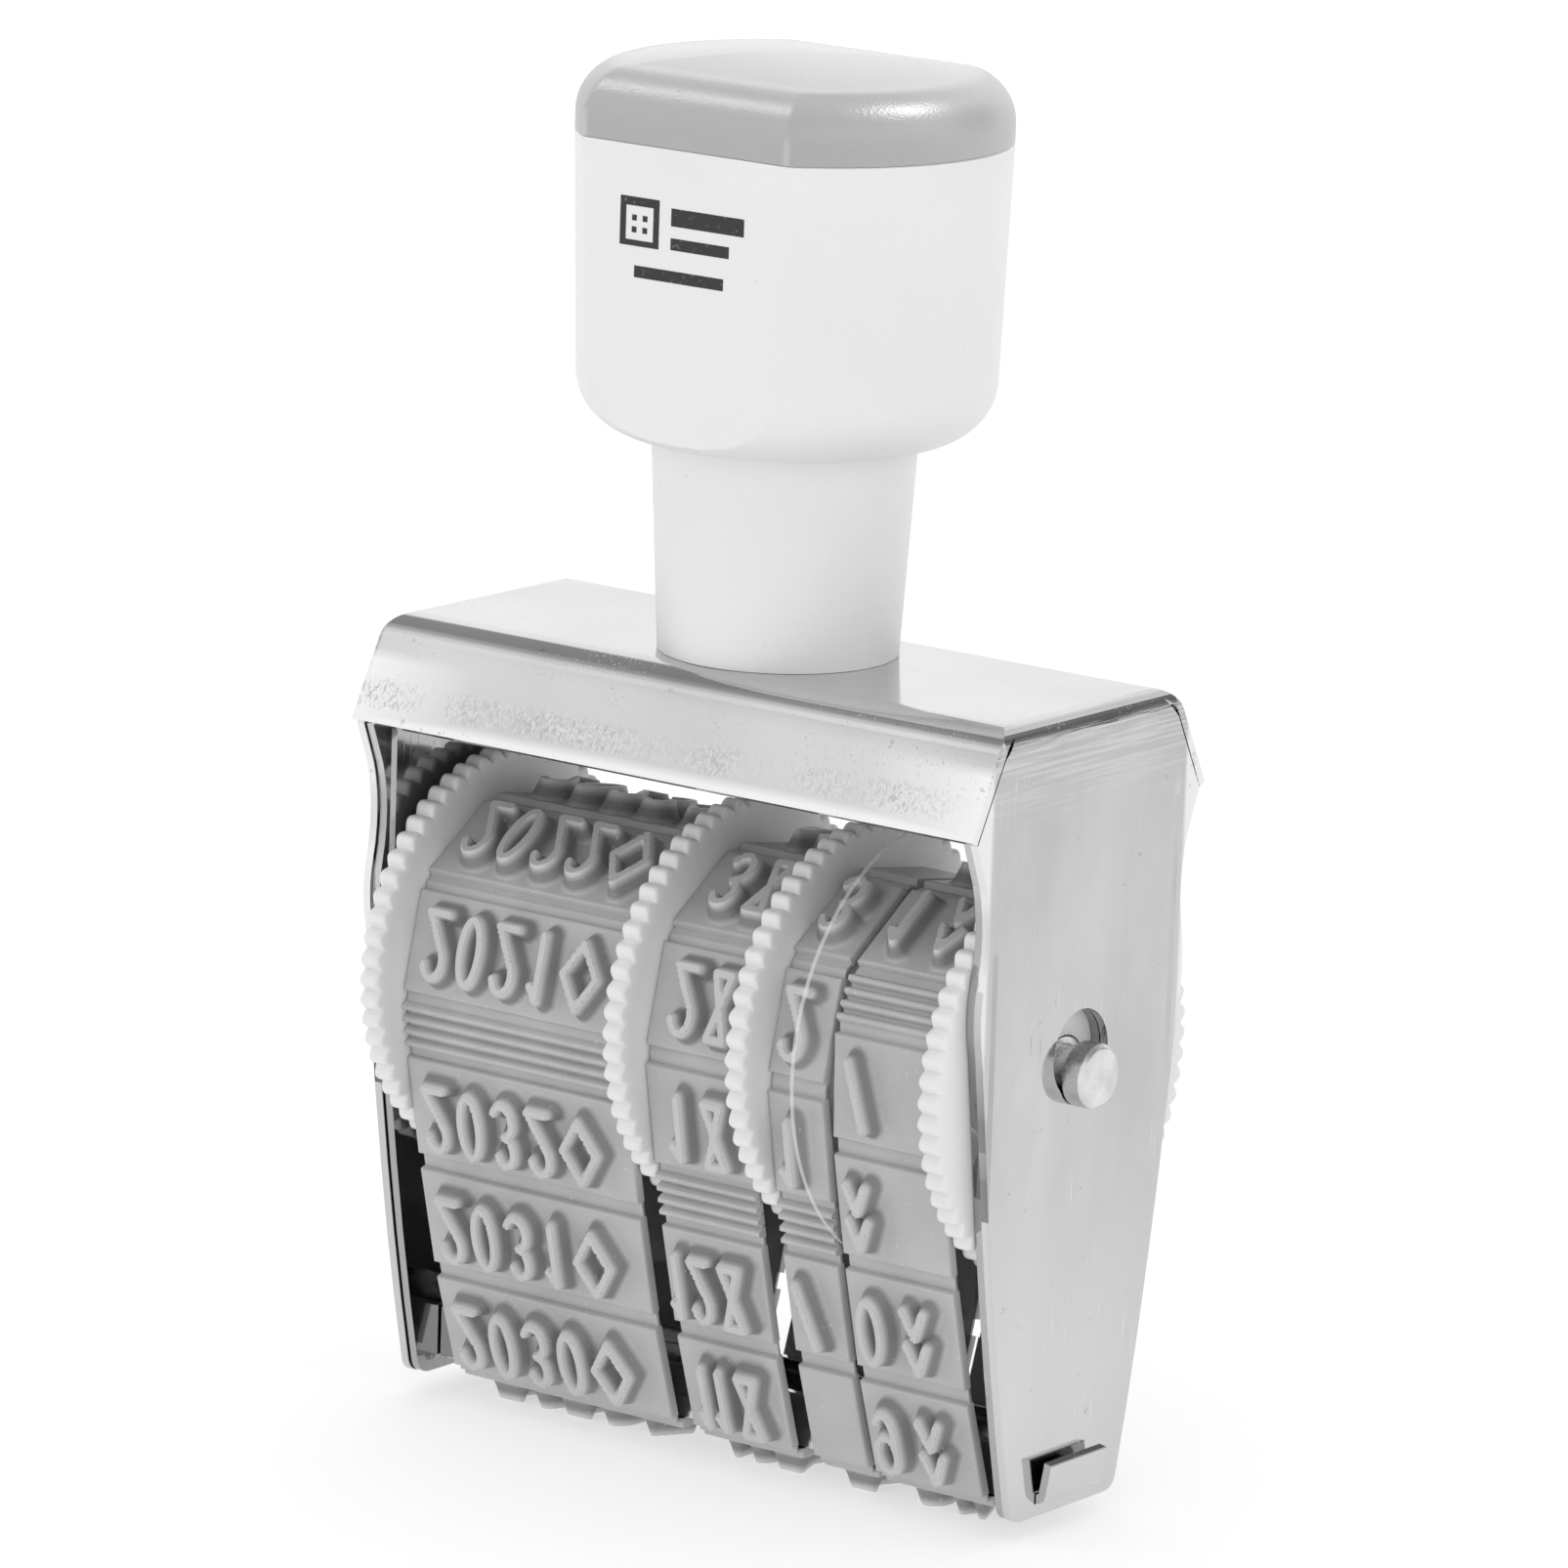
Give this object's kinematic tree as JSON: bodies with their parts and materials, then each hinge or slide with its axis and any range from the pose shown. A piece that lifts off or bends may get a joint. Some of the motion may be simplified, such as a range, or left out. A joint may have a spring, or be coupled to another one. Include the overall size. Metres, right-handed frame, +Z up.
{
  "type": "rotary date stamp",
  "caption": "Hand date stamp with toothed thumb wheels turning rubber type belts over a platen, in a bent sheet-metal frame with a moulded knob handle.",
  "frame": {"origin": "middle of the print face, the plane that the tips of the lowest type stand on", "axes": "+Z up through the handle, +X along the axle from the year wheel to the units wheel, -Y the side with the wider view of the type"},
  "size_m": [0.0564, 0.031, 0.0975],
  "materials": {
    "plated_sheet": "polished plated sheet with fine scratches",
    "steel": "turned steel",
    "white_plastic": "satin moulded plastic",
    "grey_plastic": "satin moulded plastic",
    "clear_plastic": "clear thin sheet",
    "belt_rubber": "moulded grey rubber, slightly dusty"
  },
  "bodies": {
    "frame": {"outer_cover": "plated_sheet", "inner_bracket": "plated_sheet", "platen": "plated_sheet", "axle": "steel", "axle_spacer": "steel", "year_belt": "belt_rubber", "month_belt": "belt_rubber", "tens_belt": "belt_rubber", "units_belt": "belt_rubber", "handle_body": "white_plastic", "handle_cap": "grey_plastic", "handle_screw": "steel", "screw_washer": "steel"},
    "year_wheel": {"year_wheel": "white_plastic"},
    "month_wheel": {"month_wheel": "white_plastic"},
    "tens_wheel": {"tens_wheel": "white_plastic"},
    "units_wheel": {"units_wheel": "white_plastic"},
    "separator_disc": {"separator_disc": "clear_plastic"}
  },
  "joints": [
    {"name": "year_spin", "type": "hinge", "parent": "frame", "child": "year_wheel", "pos_m": [0, 0, 0.0317], "axis": [1, 0, 0], "continuous": true},
    {"name": "month_spin", "type": "hinge", "parent": "frame", "child": "month_wheel", "pos_m": [0, 0, 0.0317], "axis": [1, 0, 0], "continuous": true},
    {"name": "tens_spin", "type": "hinge", "parent": "frame", "child": "tens_wheel", "pos_m": [0, 0, 0.0317], "axis": [1, 0, 0], "continuous": true},
    {"name": "units_spin", "type": "hinge", "parent": "frame", "child": "units_wheel", "pos_m": [0, 0, 0.0317], "axis": [1, 0, 0], "continuous": true},
    {"name": "separator_spin", "type": "hinge", "parent": "frame", "child": "separator_disc", "pos_m": [0, 0, 0.0317], "axis": [1, 0, 0], "continuous": true}
  ]
}
